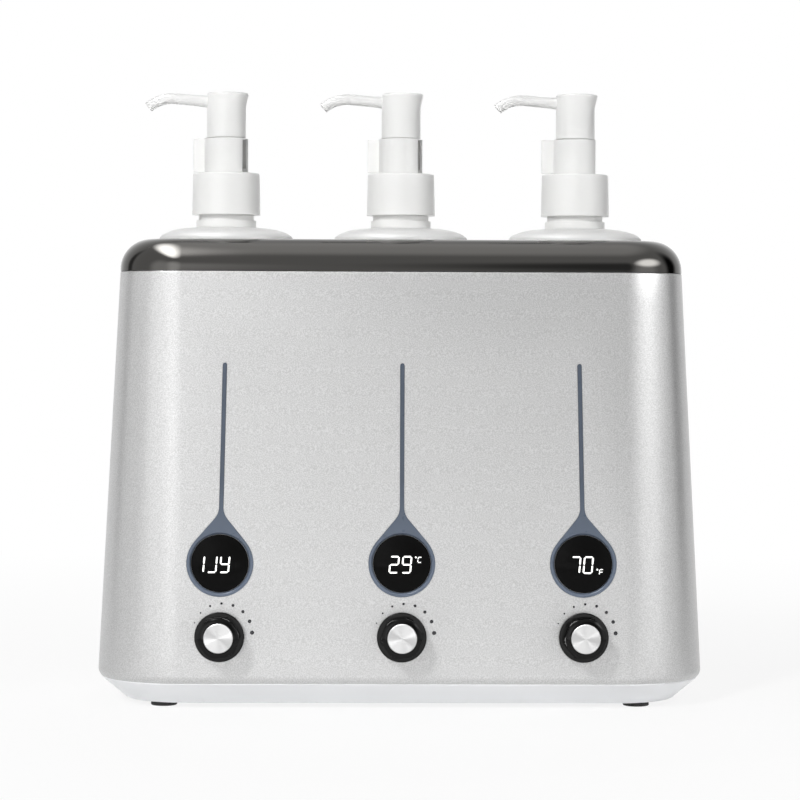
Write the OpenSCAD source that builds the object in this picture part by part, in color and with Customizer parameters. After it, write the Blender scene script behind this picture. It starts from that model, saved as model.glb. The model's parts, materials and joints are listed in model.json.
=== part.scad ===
// Massage oil warmer: three pump bottles in heated wells, in a tapered casing with a display
// and a knob for each bottle. Millimetres, +Z up, the front faces -Y.

/* [Casing] */
// Width of the casing at its lower edge
case_w = 267; // [240:1:290]
// Depth of the casing at its lower edge
case_d = 118; // [114:1:136]
// Height of the casing, from the base to the cover
case_h = 177.8; // [170:0.1:195]
// Corner radius at the lower edge, seen from above
corner_r = 38; // [34:0.5:50]
// Lean of every wall towards the middle, in degrees
lean = 3.1; // [1.5:0.1:3.5]
// Thickness of the casing's wall
wall = 2.5; // [2:0.1:3]
// Rounding of the casing's upper outer edge
case_edge = 0.7; // [0.3:0.1:1]
// Rounding of the casing's lower outer edge
hem_r = 4; // [2:0.5:5]
// Width of the flange that turns in at the lower edge
hem_w = 6; // [5:0.5:8]
// Thickness of that flange
hem_t = 2.5; // [2:0.5:4]
// Width of the ledge that carries the deck
ledge_w = 3; // [2:0.5:4]

/* [Top cover] */
// Height of the cover above the casing
cover_h = 14.2; // [13:0.1:18]
// Height of the upright land under the cover's rolled edge
cover_land = 1; // [0.4:0.1:2.5]
// Thickness of the cover
cover_t = 2.2; // [1.6:0.1:2.6]
// Depth of the lip that reaches into the casing
lip_h = 4; // [3:0.5:6]
// Thickness of that lip
lip_t = 1.8; // [1.2:0.1:2.4]
// Gap round the bottle in the cover's openings
mouth_gap = 1.5; // [1:0.1:2]
// Rounding of the openings' upper edge
mouth_r = 1.2; // [0.6:0.1:1.6]

/* [Base] */
// Height of the base tray, from its bottom to the casing
base_h = 9.8; // [8.5:0.1:13]
// Step in from the casing's edge to the base at the joint
base_inset = 0.1; // [0.05:0.05:1]
// Height of the upright land at the top of the tray's side
base_land = 0.5; // [0.3:0.1:1]
// Slope of the tray's side, in degrees from level
base_slope = 40; // [36:1:52]
// Rounding of the tray's lower edge
base_edge_r = 4; // [3:0.5:7]
// Thickness of the tray
base_t = 2; // [1.5:0.1:2.5]
// Height of the tray's locating lip above the joint
base_lip_h = 3.6; // [2:0.1:5]
// Thickness of that lip
base_lip_t = 1.5; // [1.2:0.1:2]
// Diameter of a foot
foot_d = 11.5; // [9:0.5:14]
// Height of a foot under the tray
foot_h = 2; // [1.5:0.1:4]
// Distance of the feet from the ends of the tray's flat bottom
foot_end = 15.8; // [8:0.1:24]
// Distance of the feet from the front and back of the flat bottom
foot_side = 8.8; // [7:0.1:16]
// Width of a vent slot
vent_w = 3; // [2:0.5:4]
// Length of a vent slot
vent_l = 34; // [20:1:40]
// Spacing of the vent slots
vent_step = 8; // [6:0.5:10]
// Number of vent slots
vent_n = 11; // [5:1:13]

/* [Stations] */
// Distance of the outer bottles, displays and knobs from the casing's ends
end_room = 55.2; // [52:0.1:58]
// Height of the display centres
display_z = 63.7; // [59:0.1:67]
// Height of the knob centres
knob_z = 32.2; // [30:0.1:35]
// Turn of the outer bezels towards the middle, in degrees
fan = 1.2; // [0:0.1:2]

/* [Bezels and displays] */
// Radius of the bezel round the display
bezel_r = 14.4; // [13.8:0.1:16]
// Radius of the display window
window_r = 12.4; // [11:0.1:12.8]
// Width of the bevel round the window
rim_w = 0.8; // [0.3:0.1:1.2]
// Depth of that bevel
rim_d = 0.8; // [0.2:0.1:1]
// Half angle at the top of the teardrop, in degrees
drop_angle = 40; // [36:1:45]
// Width of the bezel's tail
tail_w = 1.8; // [1.4:0.1:3]
// Reach of the tail's end above the display centre
tail_reach = 86.4; // [70:0.1:95]
// Radius where the teardrop runs into its tail
drop_fillet = 8; // [4:0.5:12]
// Depth of the seat in the casing
seat_d = 0.8; // [0.5:0.1:1.2]
// How far the bezel stands out of the casing
bezel_proud = 0.3; // [0.1:0.1:0.8]
// How far the window stands out of the casing
window_proud = 0.15; // [0.05:0.05:0.6]
// Width of the ledge behind the window
window_ledge = 1; // [0.6:0.1:1.2]
// Width of the display module
module_w = 18; // [14:0.5:18.5]
// Height of the display module
module_h = 11; // [9:0.5:11.5]

/* [Knobs] */
// Radius of the knob's skirt
knob_r = 10.7; // [9.8:0.1:12]
// Height of the skirt
skirt_h = 3.2; // [2:0.1:5]
// Radius of the grip above the skirt
grip_r = 9.5; // [9:0.1:9.7]
// How far the grip narrows towards the front
grip_taper = 0.8; // [0.2:0.1:1]
// Reach of the knob's front from the casing
knob_reach = 14.5; // [13.5:0.1:17]
// Gap between the knob and the casing
knob_gap = 0.6; // [0.3:0.1:1]
// Radius of the metal cap
cap_r = 6.35; // [5.5:0.05:6.6]
// Thickness of the metal cap
cap_t = 1.2; // [0.8:0.1:1.6]
// How far the cap stands out of the grip
cap_proud = 0.25; // [0.1:0.05:0.5]
// Depth of the grip's six flats at its foot
flat_d = 1.1; // [0.6:0.1:1.2]
// Radius of the notches between the flats
notch_r = 0.8; // [0.4:0.1:1.2]
// Radius of the switch shaft
shaft_r = 3; // [2.5:0.1:3.2]

/* [Switches and board] */
// Radius of the switch body
switch_r = 8; // [7:0.5:9]
// Depth of the switch body behind the casing
switch_d = 6.5; // [5:0.5:8]
// Radius of the switch bushing
bushing_r = 4.2; // [4:0.1:4.6]
// Reach of the bushing from the casing
bushing_reach = 3.4; // [3:0.1:3.8]
// Width of the nut across its flats
nut_af = 11; // [10:0.5:12]
// Thickness of the nut
nut_t = 2.2; // [1.6:0.1:2.6]
// Thickness of the control board
board_t = 1.6; // [1.2:0.1:2]
// Margin of the board beyond the outer stations
board_margin = 21; // [18:0.5:23]
// Reach of the board above the display centres
board_above = 17; // [15:0.5:20]
// Reach of the board below the knob centres
board_below = 12; // [11:0.5:13]
// Width of a relay on the board
relay_w = 19; // [15:0.5:20]
// Height of a relay, up the board
relay_h = 15; // [12:0.5:18]
// Depth of a relay behind the board
relay_d = 10; // [8:0.5:11]
// Height of the relays above the board's lower edge
relay_up = 3; // [2:0.5:6]
// Radius of a capacitor beside a relay
capacitor_r = 4; // [3:0.5:5]
// Distance of a capacitor from its station, sideways
capacitor_x = 19; // [16:0.5:24]
// Height of the capacitors above the board's lower edge
capacitor_up = 9; // [6:0.5:12]
// Radius of a board post
post_r = 3.2; // [2.8:0.1:4]
// Radius of a board screw
board_screw_r = 1.25; // [1:0.05:1.5]

/* [Wells] */
// Gap between the bottle and its well
well_gap = 2; // [1.7:0.1:2.4]
// Thickness of the well
well_t = 1.5; // [1:0.1:2]
// Width of the well's flange on the deck
flange_w = 3.2; // [2.5:0.1:3.4]
// Thickness of the well's flange
flange_t = 1.5; // [1:0.1:2]
// Thickness of the deck
deck_t = 3; // [2:0.5:4]
// Thickness of the seal between well and cover
seal_t = 1.5; // [1:0.1:2]
// Thickness of the heating film
film_t = 0.8; // [0.4:0.1:1.2]
// Height of the heating film
film_h = 70; // [40:1:85]
// Height of the film's lower edge above the well's floor
film_up = 8; // [4:0.5:12]
// Radius of the temperature sensor
sensor_r = 3.2; // [2:0.1:4]
// Height of the temperature sensor
sensor_h = 5; // [3:0.5:7]

/* [Bottles] */
// Room between neighbouring bottles
bottle_apart = 18.3; // [17:0.1:22]
// Room in front of and behind a bottle, taken together
bottle_room = 58; // [56:0.5:64]
// Height of the bottle's straight body
bottle_h = 117; // [105:1:130]
// Wall thickness of the bottle
bottle_wall = 1.3; // [1:0.1:2]
// Rounding of the bottle's lower edge
heel_r = 4; // [2.5:0.5:6]
// Reach of the straight body above the cover
shoulder_up = 0.5; // [0:0.1:2]
// Height of the shoulder's dome
dome_h = 5.4; // [4.5:0.1:8]
// Radius of the bead under the neck
bead_r = 13.4; // [13:0.1:15]
// Height of that bead
bead_h = 3.2; // [1.5:0.1:4]
// Outer radius of the neck
neck_r = 12.4; // [11.5:0.1:12.6]
// Wall thickness of the neck
neck_wall = 1.8; // [1.4:0.1:2.4]

/* [Pumps] */
// Outer radius of the screw closure at its lower edge
closure_r = 15.3; // [14.8:0.1:16.5]
// How far the closure narrows towards its top
closure_taper = 0.4; // [0.1:0.1:0.8]
// Height of the closure
closure_h = 18.7; // [17:0.1:22]
// Gap between the bead and the closure
closure_gap = 2.5; // [2:0.1:4]
// Thickness of the closure's top
closure_t = 2; // [1.5:0.1:2.5]
// Radius of the pump's collar in the closure
collar_r = 7.4; // [6.8:0.1:8]
// Outer radius of the pump chamber
chamber_r = 7; // [6.8:0.1:8]
// Wall thickness of the chamber
chamber_t = 1.1; // [0.8:0.1:1.3]
// Depth of the chamber under the closure
chamber_h = 45; // [40:1:50]
// Length of the guide round the stem
guide_h = 6; // [5:0.5:8]
// Radius of the stem
stem_r = 4; // [3.6:0.1:4.3]
// Radius of the channel in the stem
channel_r = 1.5; // [1:0.1:1.8]
// Height of the piston
piston_h = 6; // [4:0.5:8]
// Stroke of the pump
stroke = 12; // [8:0.5:12.5]
// Gap between the closure and the head, where the clip sits
head_gap = 15.9; // [15:0.1:18]
// Radius of the head's barrel
head_r = 8.7; // [8.2:0.1:8.9]
// Height of the head
head_h = 20; // [19:0.1:24]
// How far the thumb lip stands out behind the head
thumb_lip = 1.2; // [0.6:0.1:1.6]
// Wall thickness of the head's skirt
head_t = 1.2; // [1:0.1:1.6]
// Radius of the spout
spout_r = 2.4; // [2:0.1:2.6]
// Wall thickness of the spout
spout_t = 0.8; // [0.6:0.1:1]
// Depth of the spout's axis below the head's top, at the pump's axis
spout_down = 4.6; // [4.2:0.1:6]
// Reach of the spout from the pump's axis
spout_reach = 35; // [30:0.1:37]
// Rise of the spout's straight run, in degrees
spout_rise = 5; // [0:0.5:9]
// Radius of the bend near the spout's end
spout_bend_r = 17; // [12:0.5:22]
// Angle of that bend, in degrees
spout_bend = 45; // [20:1:55]
// Radius of the dip tube
dip_r = 2.5; // [2:0.1:3]
// Gap between the dip tube and the bottle's floor
dip_gap = 4; // [2:0.5:8]

/* [Clips] */
// Outer radius of the clip
clip_r = 9.8; // [9.6:0.1:10.4]
// Reach of the clip's tab from the pump's axis
tab_reach = 15.1; // [13:0.1:18]
// Thickness of the tab
tab_t = 2.4; // [1.6:0.1:3]
// Height of the tab's lower edge above the closure
tab_up = 0.7; // [0.5:0.1:3]
// Turn of each clip about its pump's axis, left to right, in degrees
clip_turn = [15, 15, 1]; // [0:1:30]
// Thickness of the clip's floor
clip_floor = 2.2; // [1.5:0.1:2.4]

/* [Springs] */
// Radius of the spring's wire
wire_r = 0.45; // [0.3:0.05:0.5]
// Number of coils
coils = 8; // [6:1:9]

/* [Fits] */
// Gap between pieces that drop into each other
fit = 0.2; // [0.1:0.05:0.3]
// Gap round a bezel in its seat
bezel_fit = 0.1; // [0.05:0.05:0.15]
// Radial gap of a shaft that turns or slides
run = 0.05; // [0.02:0.01:0.08]

/* [Hidden] */
$fn = 64;
SIDES = ["left", "middle", "right"];
EACH = [
  "heating_well", "bezel", "display_window", "knob_grip", "knob_cap", "switch_shaft", "bottle",
  "closure", "pump_chamber", "dip_tube", "return_spring", "pump_stem", "pump_head", "lock_clip"
];
eps = 0.01;
overlap = 0.5;
over = 5;

// Heights
base_z = foot_h;
seam_z = base_z + base_h;
case_top = seam_z + case_h;
cover_top = case_top + cover_h;
deck_top = case_top - lip_h;
mouth_z = cover_top - cover_t - seal_t;
shoulder_z = cover_top + shoulder_up;
bottle_z = shoulder_z - bottle_h;
bead_z = shoulder_z + dome_h;
closure_z = bead_z + bead_h + closure_gap;
closure_top = closure_z + closure_h;
head_z = closure_top + head_gap;
head_top = head_z + head_h;

// Plan: every level of the casing keeps the same four corner centres
core_x = case_w / 2 - corner_r;
core_y = case_d / 2 - corner_r;
wall_x = wall / cos(lean);
pitch = case_w / 2 - end_room;
top_r = corner_r - shrink(case_top);
hem_end = base_slope - 90;
hem_c = [corner_r + hem_r * (sin(hem_end) * tan(lean) - 1 / cos(lean)), seam_z - hem_r * sin(hem_end)];
case_back = core_y + hem_c[0] + hem_r;

// Base tray
base_r = hem_c[0] + hem_r * cos(hem_end) - base_inset;
base_c = [base_r - (base_edge_r + (base_h - base_land - base_edge_r) * cos(base_slope)) / sin(base_slope),
          base_z + base_edge_r];
foot_x = core_x + base_c[0] - foot_end;
foot_y = core_y + base_c[0] - foot_side;
base_lip_r = corner_r - hem_w - fit;
boss_r = 4;
boss_x = core_x + base_c[0] - boss_r + 2;
boss_y = core_y;
boss_h = 18;
rib_t = 3;
rib_z = seam_z + base_lip_h + 1;
base_screw_r = 1.5;
base_screw_head_r = 2.8;
base_screw_head_h = 2;
base_screw_sink = 0.6;
base_screw_l = 20;
foot_stub_r = 2.4;
foot_stub_h = base_t;

// Switches, board and knobs, measured outwards from the front face
board_front = -(wall + switch_d);
knob_down = (knob_z - display_z) / cos(lean);
hood_r = 8;
hood_d = 4.4;
nose_r = cap_r + 0.9;
nose_d = 0.6;
grip_front = knob_reach - cap_proud;
flat_turn = 8;
shaft_end = knob_reach - cap_t - 2;
shaft_in = -(wall + switch_d - 1.5);
post_x = [-pitch / 2, pitch / 2];
post_y = [board_above - 6, knob_down - board_below + 5];
post_hole = 5;
board_screw_head_r = 2.5;
board_screw_head_h = 1.6;
board_screw_l = 4.5;
inlet_z = 30;
inlet_r = 6;
inlet_hole_r = 3;
inlet_pin_r = 1;
inlet_body = 14;
inlet_d = 11;

// Stations and wells
bottle_d = min(pitch - bottle_apart, case_d - bottle_room);
bottle_r = bottle_d / 2;
well_r = bottle_r + well_gap;
well_out = well_r + well_t;
seal_out = well_out + 0.6;
mouth_hole_r = bottle_r + mouth_gap;

// Rolled edge of the cover: its underside stays flat as far as the seals reach
roll_in = min(cover_h - cover_land - cover_t, core_x + top_r - cover_t - pitch - seal_out);
roll_r = min(cover_h - cover_land, roll_in + cover_t + 2);

// Pumps
chamber_in = chamber_r - chamber_t;
chamber_flange_t = 1.2;
chamber_flange_r = neck_r - 0.1;
neck_top = closure_top - closure_t - chamber_flange_t;
chamber_z = closure_top - chamber_h;
chamber_floor = 2.5;
socket_h = 8;
socket_t = 1.4;
closure_in = neck_r + 2 * fit;
closure_edge = 0.8;
piston_top = closure_top - guide_h - 1;
piston_r = chamber_in - 2 * run;
stem_neck_r = stem_r - 0.5;
stem_seat = head_z + 0.5;
skirt_in = head_r - head_t;
skirt_d = stroke + 0.8;
socket_r = stem_neck_r + 1.7;
lip_z = head_z + skirt_d + 0.3;
spout_z = head_top - spout_down;
spout_l = (spout_reach - spout_bend_r * (1 - cos(spout_bend)) * sin(spout_rise)) / cos(spout_rise)
  - spout_bend_r * sin(spout_bend);
spout_bore = spout_r - spout_t;
spout_root_r = spout_r + 0.3;
spout_step = 0.06;
spout_lap = 3;
clip_in = head_r + fit;
clip_slot = stem_r + 0.25;
clip_h = head_gap - 0.3;
spring_r = chamber_in - wire_r - 0.6;
spring_z = [chamber_z + chamber_floor + wire_r + run, piston_top - piston_h - wire_r - run];

// The origin lies under the middle of the whole part's box, which the knobs push forward
skirt_top = knob_gap + skirt_h;
skirt_points = [
  [0, knob_gap], [knob_r, knob_gap], [knob_r, skirt_top - 0.4], [knob_r - 0.3, skirt_top], [0, skirt_top]
];
grip_points = [
  [0, skirt_top - overlap], [grip_r, skirt_top - overlap], [grip_r - grip_taper, grip_front - nose_d],
  [nose_r, grip_front], [0, grip_front]
];
cap_reach = knob_reach * cos(lean) + (cap_r - 0.3) * sin(lean);
grip_reach = max([for (p = concat(skirt_points, grip_points)) p[1] * cos(lean) + p[0] * sin(lean)]);
front_y = face_y(knob_z) - max(cap_reach, grip_reach);
origin_y = -(front_y + case_back) / 2;

// How far the walls have come in at a height
function shrink(z) = (z - seam_z) * tan(lean);

// Where the front face is at a height
function face_y(z) = shrink(z) - case_d / 2;

// Points on an arc, in degrees
function arc(c, r, from, to, n = 8) =
  [for (i = [0 : n]) c + r * [cos(from + (to - from) * i / n), sin(from + (to - from) * i / n)]];

// Outline of the teardrop bezel with its tail, grown by a gap all round
function drop_outline(grow = 0) =
  let (
    r = bezel_r + grow,
    b = tail_w / 2 + grow,
    f = drop_fillet - grow,
    c = [b + f, (r + f - (b + f) * cos(drop_angle)) / sin(drop_angle)],
    right = concat(
      arc([0, 0], r, -90, drop_angle, 14),
      arc(c, f, 180 + drop_angle, 180, 6),
      arc([0, tail_reach - tail_w / 2], b, 0, 90, 4)
    ),
    n = len(right)
  )
  concat(right, [for (i = [n - 2 : -1 : 1]) [-right[i][0], right[i][1]]]);

// Sweeps a wall profile (distance from the corner centre, height) round the rounded plan
module sweep_wall() {
  for (k = [0 : 3]) {
    along = k % 2 == 0 ? core_y : core_x;
    out = k % 2 == 0 ? core_x : core_y;
    rotate([0, 0, 90 * k]) {
      translate([out, along, 0]) rotate_extrude(angle = 90) children();
      translate([out, along, 0]) rotate([90, 0, 0]) linear_extrude(2 * along) children();
    }
  }
}

// Fills the middle of a swept plate, between the corner centres
module plate_middle(z, t) {
  translate([-core_x, -core_y, z]) cube([2 * core_x, 2 * core_y, t]);
}

// Puts children on the front face: x across, y up the face, z out of it
module on_front(x, z) {
  translate([x, face_y(z), z]) rotate([90 - lean, 0, 0]) children();
}

// Puts children at a station's display, turned with its bezel
module at_display(i) {
  on_front(station_x(i), display_z) rotate([0, 0, (i - 1) * fan]) children();
}

module at_knob(i) {
  on_front(station_x(i), knob_z) children();
}

module at_pump(i) {
  translate([station_x(i), 0, 0]) children();
}

function station_x(i) = (i - 1) * pitch;

module ring(r_out, r_in, z0, z1) {
  rotate_extrude() translate([r_in, z0]) square([r_out - r_in, z1 - z0]);
}

// White base tray: sloping side, locating lip, screw posts, foot holes and vents
module base_tray() {
  inner_r = base_edge_r - base_t;
  slope_in = base_c + inner_r * [sin(base_slope), -cos(base_slope)];
  lip_in = base_lip_r - base_lip_t;
  profile = concat(
    [[0, base_z]],
    arc(base_c, base_edge_r, -90, base_slope - 90),
    [[base_r, seam_z - base_land], [base_r, seam_z], [base_lip_r, seam_z], [base_lip_r, seam_z + base_lip_h], [lip_in, seam_z + base_lip_h],
     [lip_in, slope_in[1] + (lip_in - slope_in[0]) * tan(base_slope)]],
    arc(base_c, inner_r, base_slope - 90, -90, 6),
    [[0, base_z + base_t]]
  );
  color([0.93, 0.94, 0.96])
  difference() {
    union() {
      sweep_wall() polygon(profile);
      plate_middle(base_z, base_t);
      for (sx = [-1, 1], sy = [-1, 1])
        translate([sx * boss_x, sy * boss_y, base_z + eps]) cylinder(h = base_h - eps, r = boss_r);
    }
    for (sx = [-1, 1], sy = [-1, 1]) {
      translate([sx * boss_x, sy * boss_y, base_z - over]) cylinder(h = base_h + 2 * over, r = base_screw_r + fit);
      translate([sx * boss_x, sy * boss_y, base_z - over])
        cylinder(h = over + base_screw_sink + base_screw_head_h, r = base_screw_head_r + fit);
      translate([sx * foot_x, sy * foot_y, base_z - over]) cylinder(h = 2 * over, r = foot_stub_r + fit / 2);
    }
    for (k = [0 : vent_n - 1])
      translate([(k - (vent_n - 1) / 2) * vent_step - vent_w / 2, -vent_l / 2, base_z - over])
        cube([vent_w, vent_l, 2 * over]);
  }
}

// Silver casing: leaning walls with cone corners, seats for the bezels, holes for the switches
module casing() {
  ledge_z = deck_top - deck_t;
  edge_c = [top_r + case_edge * (tan(lean) - 1 / cos(lean)), case_top - case_edge];
  function inside(z) = corner_r - shrink(z) - wall_x;
  profile = concat(
    arc(hem_c, hem_r, hem_end, lean, 6),
    arc(edge_c, case_edge, lean, 75, 4),
    [[edge_c[0], case_top], [inside(case_top), case_top], [inside(ledge_z), ledge_z],
     [inside(ledge_z) - ledge_w, ledge_z], [inside(ledge_z - ledge_w), ledge_z - ledge_w],
     [inside(seam_z + hem_t), seam_z + hem_t], [corner_r - hem_w, seam_z + hem_t], [corner_r - hem_w, seam_z]]
  );
  color([0.82, 0.83, 0.84])
  difference() {
    union() {
      sweep_wall() polygon(profile);
      for (sx = [-1, 1], sy = [-1, 1]) {
        translate([sx * boss_x, sy * boss_y, seam_z]) cylinder(h = boss_h, r = boss_r);
        translate([sx > 0 ? boss_x : -core_x - inside(rib_z) - overlap, sy * boss_y - rib_t / 2, rib_z])
          cube([core_x + inside(rib_z) + overlap - boss_x, rib_t, seam_z + boss_h - rib_z]);
      }
      for (x = post_x, y = post_y)
        on_front(0, display_z) translate([x, y, board_front]) cylinder(h = switch_d + overlap, r = post_r);
    }
    for (sx = [-1, 1], sy = [-1, 1])
      translate([sx * boss_x, sy * boss_y, seam_z - over]) cylinder(h = over + boss_h - 2, r = base_screw_r + run);
    for (x = post_x, y = post_y)
      on_front(0, display_z) translate([x, y, board_front - over])
        cylinder(h = over + post_hole, r = board_screw_r + run);
    for (i = [0 : 2]) {
      at_display(i) translate([0, 0, -seat_d]) linear_extrude(over) polygon(drop_outline(bezel_fit));
      at_display(i) translate([0, 0, -2 * over]) cylinder(h = 3 * over, r = window_r - window_ledge);
      at_knob(i) translate([0, 0, -2 * over]) cylinder(h = 3 * over, r = bushing_r + fit / 2);
    }
    rotate([0, 0, 180]) on_front(0, inlet_z) translate([0, 0, -2 * over])
      cylinder(h = 3 * over, r = inlet_r + fit / 2);
  }
}

// Dark chrome cover: rolled edge, three openings, lip inside the casing
module top_cover() {
  roll_c = [top_r - roll_r, cover_top - roll_r];
  lip_r = top_r - wall_x - fit;
  lip_in = lip_r - lip_t;
  mouth_edge = arc([mouth_hole_r + mouth_r, cover_top - mouth_r], mouth_r, 180, 95, 5);
  profile = concat(
    [[0, cover_top]],
    arc(roll_c, roll_r, 90, 0, 14),
    [[top_r, case_top], [lip_r, case_top], [lip_r, deck_top], [lip_in, deck_top], [lip_in, case_top]],
    arc([top_r - cover_t - roll_in, cover_top - cover_t - roll_in], roll_in, 0, 90, 10),
    [[0, cover_top - cover_t]]
  );
  color([0.3, 0.29, 0.28])
  difference() {
    union() {
      sweep_wall() polygon(profile);
      plate_middle(cover_top - cover_t, cover_t);
    }
    for (i = [0 : 2])
      at_pump(i) {
        rotate_extrude() polygon(concat(
          [[0, cover_top - over], [mouth_hole_r, cover_top - over]],
          mouth_edge,
          [[mouth_edge[5][0], cover_top + over], [0, cover_top + over]]
        ));
      }
  }
}

// Deck inside the casing's top that carries the wells
module well_deck() {
  deck_r = corner_r - shrink(deck_top) - wall_x - fit;
  color([0.88, 0.88, 0.86])
  difference() {
    union() {
      sweep_wall() translate([0, deck_top - deck_t]) square([deck_r, deck_t]);
      plate_middle(deck_top - deck_t, deck_t);
    }
    for (i = [0 : 2])
      at_pump(i) translate([0, 0, deck_top - deck_t - over]) cylinder(h = deck_t + 2 * over, r = well_out + fit);
  }
}

// Aluminium well: a cup that hangs on the deck by its flange
module heating_well(i) {
  floor_r = 3;
  profile = concat(
    [[0, bottle_z - well_t]],
    arc([well_out - floor_r, bottle_z - well_t + floor_r], floor_r, -90, 0, 6),
    [[well_out, deck_top], [well_out + flange_w, deck_top], [well_out + flange_w, deck_top + flange_t],
     [well_out, deck_top + flange_t], [well_out, mouth_z], [well_r, mouth_z]],
    arc([well_r - floor_r + well_t, bottle_z + floor_r - well_t], floor_r - well_t, 0, -90, 6),
    [[0, bottle_z]]
  );
  color([0.75, 0.76, 0.77]) at_pump(i) rotate_extrude() polygon(profile);
}

// Soft rings between the wells' mouths and the cover
module well_seals() {
  color([0.2, 0.2, 0.21])
  for (i = [0 : 2]) at_pump(i) ring(seal_out, mouth_hole_r + mouth_r, mouth_z, mouth_z + seal_t);
}

// Heating films wrapped round the wells
module heating_films() {
  z = bottle_z + film_up;
  color([0.72, 0.42, 0.2])
  for (i = [0 : 2]) at_pump(i) ring(well_out + run + film_t, well_out + run, z, z + film_h);
}

// Temperature sensors under the wells' floors
module temperature_sensors() {
  pad_t = 1;
  color([0.6, 0.6, 0.62])
  for (i = [0 : 2]) at_pump(i) {
    translate([0, 0, bottle_z - well_t - sensor_h]) cylinder(h = sensor_h, r = sensor_r);
    translate([0, 0, bottle_z - well_t - pad_t]) cylinder(h = pad_t, r = 2 * sensor_r);
  }
}

// Control board behind the displays and switches, with its parts on the back
module control_board() {
  low = knob_down - board_below;
  w = 2 * (pitch + board_margin);
  color([0.1, 0.35, 0.2])
  on_front(0, display_z) difference() {
    union() {
      translate([-w / 2, low, board_front - board_t]) cube([w, board_above - low, board_t]);
      for (i = [0 : 2]) {
        translate([station_x(i) - relay_w / 2, low + relay_up, board_front - board_t - relay_d])
          cube([relay_w, relay_h, relay_d + overlap]);
        translate([station_x(i) + capacitor_x, low + capacitor_up, board_front - board_t - relay_d])
          cylinder(h = relay_d + overlap, r = capacitor_r);
      }
    }
    for (x = post_x, y = post_y)
      translate([x, y, board_front - board_t - over]) cylinder(h = board_t + 2 * over, r = board_screw_r + fit);
  }
}

// Screws that hold the board to the casing's posts
module board_screws() {
  color([0.7, 0.7, 0.72])
  for (x = post_x, y = post_y)
    on_front(0, display_z) translate([x, y, board_front - board_t]) {
      translate([0, 0, -board_screw_head_h]) cylinder(h = board_screw_head_h, r = board_screw_head_r);
      translate([0, 0, -eps]) cylinder(h = board_screw_l + eps, r = board_screw_r);
    }
}

// Display modules on the board, right behind the windows
module display_modules() {
  color([0.12, 0.12, 0.13])
  for (i = [0 : 2])
    at_display(i) translate([-module_w / 2, -module_h / 2, board_front])
      cube([module_w, module_h, -board_front - seat_d]);
}

// Slate teardrop bezel with its tail
module bezel(i) {
  color([0.37, 0.41, 0.48])
  at_display(i) translate([0, 0, -seat_d]) difference() {
    linear_extrude(seat_d + bezel_proud) polygon(drop_outline());
    translate([0, 0, -over]) cylinder(h = 3 * over, r = window_r + bezel_fit);
    translate([0, 0, seat_d + bezel_proud - rim_d])
      cylinder(h = 2 * rim_d, r1 = window_r + bezel_fit, r2 = window_r + bezel_fit + 2 * rim_w);
  }
}

// Black window of the display
module display_window(i) {
  edge = 0.1;
  top = seat_d + window_proud;
  color([0.05, 0.05, 0.06])
  at_display(i) translate([0, 0, -seat_d]) rotate_extrude()
    polygon([[0, 0], [window_r, 0], [window_r, top - edge], [window_r - 2 * edge, top], [0, top]]);
}

// Rotary switches between the board and the casing
module dial_switches() {
  color([0.55, 0.56, 0.58])
  for (i = [0 : 2]) at_knob(i) difference() {
    union() {
      translate([0, 0, board_front]) cylinder(h = switch_d, r = switch_r);
      translate([0, 0, board_front + eps]) cylinder(h = switch_d + wall + bushing_reach - eps, r = bushing_r);
    }
    translate([0, 0, shaft_in - 2 * run]) cylinder(h = 4 * over, r = shaft_r + run);
  }
}

// Nuts that clamp the switches to the casing
module switch_nuts() {
  color([0.78, 0.78, 0.76])
  for (i = [0 : 2]) at_knob(i) difference() {
    cylinder(h = nut_t, r = nut_af / 2 / cos(30), $fn = 6);
    translate([0, 0, -over]) cylinder(h = nut_t + 2 * over, r = bushing_r + run);
  }
}

// Shaft of the rotary switch, which turns with the knob
module switch_shaft(i) {
  color([0.7, 0.7, 0.72])
  at_knob(i) translate([0, 0, shaft_in]) cylinder(h = shaft_end - shaft_in, r = shaft_r);
}

// Black knob: round skirt, grip with six flats, and a seat for the cap
module knob_grip(i) {
  color([0.06, 0.06, 0.06])
  at_knob(i) difference() {
    union() {
      rotate_extrude() polygon(skirt_points);
      intersection() {
        rotate_extrude() polygon(grip_points);
        rotate([0, 0, flat_turn]) cylinder(h = knob_reach, r = (grip_r - flat_d) / cos(30), $fn = 6);
      }
    }
    for (k = [0 : 5])
      rotate([0, 0, 60 * k + flat_turn]) translate([grip_r + notch_r / 4, 0, skirt_top + overlap])
        cylinder(h = knob_reach, r = notch_r);
    cylinder(h = hood_d, r = hood_r);
    cylinder(h = shaft_end + run, r = shaft_r + run);
    translate([0, 0, knob_reach - cap_t]) cylinder(h = knob_reach, r = cap_r + run);
  }
}

// Spun aluminium cap in the knob's front
module knob_cap(i) {
  edge = 0.3;
  z = knob_reach - cap_t;
  color([0.86, 0.86, 0.87])
  at_knob(i) rotate_extrude()
    polygon([[0, z], [cap_r, z], [cap_r, knob_reach - edge], [cap_r - edge, knob_reach], [0, knob_reach]]);
}

// Round low-voltage inlet in the back wall
module power_inlet() {
  color([0.1, 0.1, 0.1])
  rotate([0, 0, 180]) on_front(0, inlet_z) {
    difference() {
      union() {
        translate([0, 0, -wall - eps]) cylinder(h = wall + eps, r = inlet_r);
        translate([-inlet_body / 2, -inlet_body / 2, -wall - inlet_d]) cube([inlet_body, inlet_body, inlet_d]);
      }
      translate([0, 0, -inlet_d + 1]) cylinder(h = 2 * over + inlet_d, r = inlet_hole_r);
    }
    translate([0, 0, -inlet_d]) cylinder(h = inlet_d - 1, r = inlet_pin_r);
  }
}

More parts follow.
